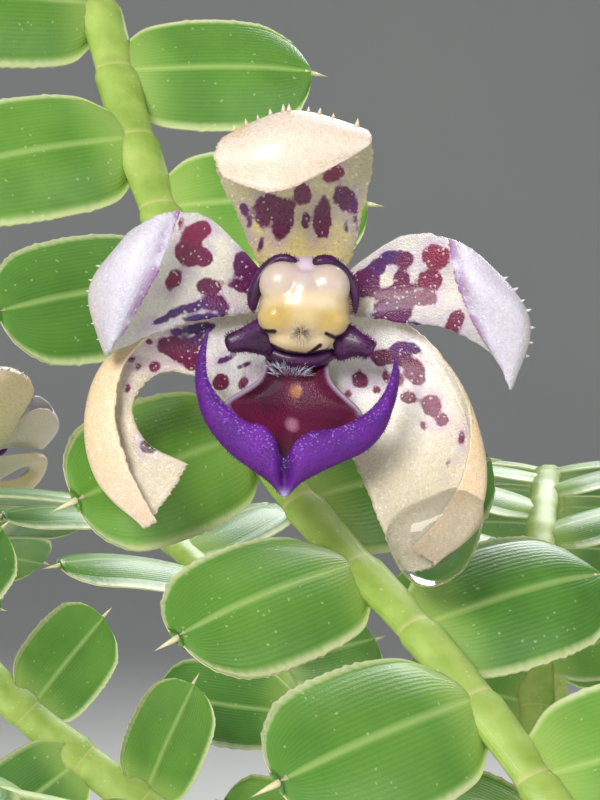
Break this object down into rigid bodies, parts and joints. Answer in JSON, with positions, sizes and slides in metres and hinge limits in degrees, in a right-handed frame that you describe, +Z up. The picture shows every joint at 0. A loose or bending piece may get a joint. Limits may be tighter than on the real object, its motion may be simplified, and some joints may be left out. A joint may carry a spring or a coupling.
{
  "type": "potted dichaea orchid",
  "caption": "Small pendent orchid with arching stems of overlapping two-ranked leaves and spotted, anchor-lipped blooms, rooted in bark in a plain terracotta pot.",
  "frame": {"origin": "centre of the pot's flat base, on the surface it stands on", "axes": "+Z up along the pot's axis, -Y towards the viewer that the main bloom faces, +X to that viewer's right"},
  "size_m": [0.1607, 0.1615, 0.1378],
  "materials": {
    "terracotta": "unglazed matte fired clay with faint throwing rings and pale mineral bloom",
    "bark": "rough dry conifer bark chips",
    "leaf": "satin green blade with fine lengthwise veins and a pale toothed margin",
    "sepal": "satin translucent cream tissue with crimson and purple spots",
    "petal": "frosted lilac-white tissue with crimson and purple spots",
    "lip": "velvety violet rim round a glossy maroon hollow",
    "column": "glossy cream waxy tissue with dark purple markings",
    "stalk": "satin pale green, bristly"
  },
  "bodies": {
    "root": {"pot": "terracotta", "bark_mix": "bark", "leafy_stem_1": "leaf", "leafy_stem_2": "leaf", "leafy_stem_3": "leaf", "leafy_stem_4": "leaf", "leafy_stem_5": "leaf", "leafy_stem_6": "leaf", "leafy_stem_7": "leaf", "bloom_1_dorsal_sepal": "sepal", "bloom_1_petal_a": "petal", "bloom_1_petal_b": "petal", "bloom_1_lateral_sepal_a": "sepal", "bloom_1_lateral_sepal_b": "sepal", "bloom_1_lip": "lip", "bloom_1_column": "column", "bloom_1_stalk": "stalk", "bloom_2_dorsal_sepal": "sepal", "bloom_2_petal_a": "petal", "bloom_2_petal_b": "petal", "bloom_2_lateral_sepal_a": "sepal", "bloom_2_lateral_sepal_b": "sepal", "bloom_2_lip": "lip", "bloom_2_column": "column", "bloom_2_stalk": "stalk", "bloom_3_dorsal_sepal": "sepal", "bloom_3_petal_a": "petal", "bloom_3_petal_b": "petal", "bloom_3_lateral_sepal_a": "sepal", "bloom_3_lateral_sepal_b": "sepal", "bloom_3_lip": "lip", "bloom_3_column": "column", "bloom_3_stalk": "stalk"}
  },
  "joints": []
}
